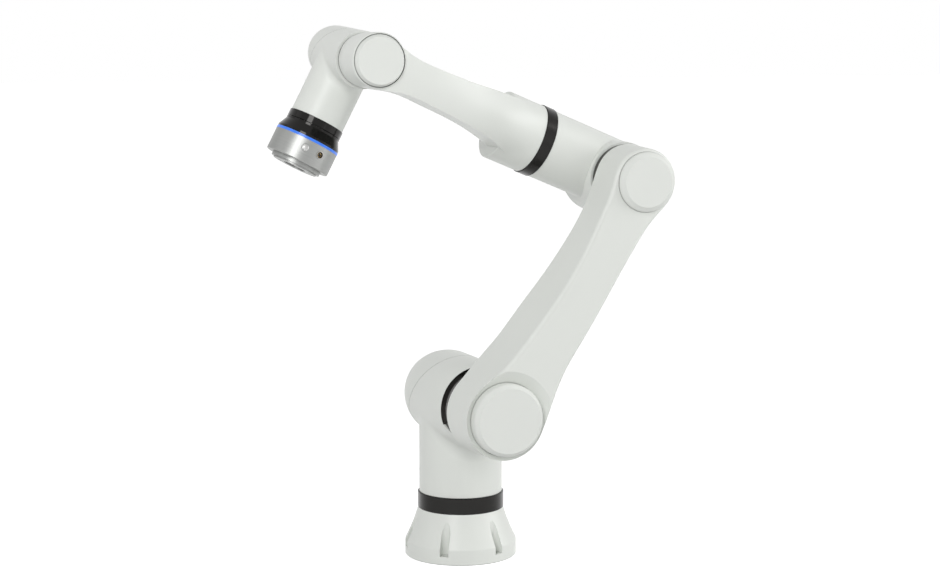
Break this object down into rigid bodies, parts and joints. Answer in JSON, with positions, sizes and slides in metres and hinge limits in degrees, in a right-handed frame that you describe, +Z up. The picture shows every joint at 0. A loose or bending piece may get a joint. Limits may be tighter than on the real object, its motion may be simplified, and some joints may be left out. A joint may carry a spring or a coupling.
{
  "type": "collaborative robot arm",
  "caption": "Jointed robot arm with round joint housings, black joint rings, a hollow tool flange with a status light ring, and a bolt-down flared base.",
  "frame": {"origin": "centre of the base's underside, on the first joint's axis", "axes": "+Z up along the first joint's axis; -Y to the side where the upper arm and forearm hang, seen from the front; +X is where the upper arm leans in the stored pose"},
  "size_m": [0.5571, 0.2898, 0.7644],
  "materials": {
    "cast_white": "satin",
    "cap_white": "satin",
    "ring_black": "gloss",
    "collar_black": "gloss",
    "light_blue": "gloss",
    "tool_steel": "satin",
    "button_steel": "satin",
    "connector_metal": "satin",
    "insert_plastic": "matte",
    "circuit_board": "matte",
    "motor_stator": "satin",
    "drive_steel": "satin"
  },
  "bodies": {
    "base": {"base_housing": "cast_white", "cable_socket": "connector_metal", "cable_socket_pins": "insert_plastic", "joint_1_ring": "ring_black", "joint_1_gear_ring": "drive_steel", "joint_1_stator": "motor_stator", "joint_1_board": "circuit_board"},
    "shoulder": {"joint_1_flexspline": "drive_steel", "shoulder_housing": "cast_white", "shoulder_rear_cover": "cast_white", "joint_2_ring": "ring_black", "joint_2_gear_ring": "drive_steel", "joint_2_stator": "motor_stator", "joint_2_board": "circuit_board"},
    "upper_arm": {"joint_2_flexspline": "drive_steel", "upper_arm": "cast_white", "lower_arm_cap": "cap_white", "upper_arm_cap": "cap_white", "joint_3_flexspline": "drive_steel"},
    "elbow": {"elbow_housing": "cast_white", "joint_3_ring": "ring_black", "joint_4_ring": "ring_black", "joint_3_gear_ring": "drive_steel", "joint_3_stator": "motor_stator", "joint_3_board": "circuit_board", "joint_4_gear_ring": "drive_steel", "joint_4_stator": "motor_stator", "joint_4_board": "circuit_board"},
    "forearm": {"joint_4_flexspline": "drive_steel", "forearm": "cast_white", "forearm_cap": "cap_white", "joint_5_flexspline": "drive_steel"},
    "wrist": {"wrist_housing": "cast_white", "wrist_rear_cover": "cast_white", "joint_5_ring": "ring_black", "joint_6_ring": "ring_black", "joint_5_gear_ring": "drive_steel", "joint_5_stator": "motor_stator", "joint_5_board": "circuit_board", "joint_6_gear_ring": "drive_steel", "joint_6_stator": "motor_stator", "joint_6_board": "circuit_board"},
    "tool_end": {"joint_6_flexspline": "drive_steel", "tool_collar": "collar_black", "light_ring": "light_blue", "tool_body": "tool_steel", "button_switch": "insert_plastic", "tool_connector": "connector_metal", "tool_connector_pins": "insert_plastic"},
    "teach_button": {"teach_button": "button_steel"},
    "rotor_1": {"joint_1_rotor": "drive_steel"},
    "rotor_2": {"joint_2_rotor": "drive_steel"},
    "rotor_3": {"joint_3_rotor": "drive_steel"},
    "rotor_4": {"joint_4_rotor": "drive_steel"},
    "rotor_5": {"joint_5_rotor": "drive_steel"},
    "rotor_6": {"joint_6_rotor": "drive_steel"}
  },
  "joints": [
    {"name": "joint_1", "type": "hinge", "parent": "base", "child": "shoulder", "pos_m": [0, 0, 0], "axis": [0, 0, 1], "range_deg": [-175, 175]},
    {"name": "joint_2", "type": "hinge", "parent": "shoulder", "child": "upper_arm", "pos_m": [0, 0, 0.228], "axis": [0, 1, 0], "range_deg": [-150, 80]},
    {"name": "joint_3", "type": "hinge", "parent": "upper_arm", "child": "elbow", "pos_m": [0.20693, 0, 0.5491], "axis": [0, -1, 0], "range_deg": [-240, 40]},
    {"name": "joint_4", "type": "hinge", "parent": "elbow", "child": "forearm", "pos_m": [0.20923, -0.0505, 0.55464], "axis": [-0.9239, 0, 0.3827], "range_deg": [-175, 175]},
    {"name": "joint_5", "type": "hinge", "parent": "forearm", "child": "wrist", "pos_m": [-0.18527, 0, 0.71805], "axis": [0, 1, 0], "range_deg": [-90, 260]},
    {"name": "joint_6", "type": "hinge", "parent": "wrist", "child": "tool_end", "pos_m": [-0.18527, -0.0505, 0.71805], "axis": [-0.4648, 0, -0.8854], "range_deg": [-175, 175]},
    {"name": "rotor_1_spin", "type": "hinge", "parent": "base", "child": "rotor_1", "pos_m": [0, 0, 0], "axis": [0, 0, 1], "continuous": true},
    {"name": "rotor_2_spin", "type": "hinge", "parent": "shoulder", "child": "rotor_2", "pos_m": [0, 0, 0.228], "axis": [0, 1, 0], "continuous": true},
    {"name": "rotor_3_spin", "type": "hinge", "parent": "elbow", "child": "rotor_3", "pos_m": [0.20693, 0, 0.5491], "axis": [0, -1, 0], "continuous": true},
    {"name": "rotor_4_spin", "type": "hinge", "parent": "elbow", "child": "rotor_4", "pos_m": [0.20923, -0.0505, 0.55464], "axis": [-0.9239, 0, 0.3827], "continuous": true},
    {"name": "rotor_5_spin", "type": "hinge", "parent": "wrist", "child": "rotor_5", "pos_m": [-0.18527, 0, 0.71805], "axis": [0, 1, 0], "continuous": true},
    {"name": "rotor_6_spin", "type": "hinge", "parent": "wrist", "child": "rotor_6", "pos_m": [-0.18527, -0.0505, 0.71805], "axis": [-0.4648, 0, -0.8854], "continuous": true},
    {"name": "teach_button_press", "type": "slide", "parent": "tool_end", "child": "teach_button", "axis": [0.2037, 0.9732, -0.1069], "range_m": [0, 0.0012], "stiffness_N_per_m": 800, "springref_m": -0.0008}
  ],
  "couplings": [
    {"joint": "rotor_1_spin", "follows": "joint_1", "ratio": -100},
    {"joint": "rotor_2_spin", "follows": "joint_2", "ratio": -100},
    {"joint": "rotor_3_spin", "follows": "joint_3", "ratio": 100},
    {"joint": "rotor_4_spin", "follows": "joint_4", "ratio": -100},
    {"joint": "rotor_5_spin", "follows": "joint_5", "ratio": 100},
    {"joint": "rotor_6_spin", "follows": "joint_6", "ratio": -100}
  ]
}
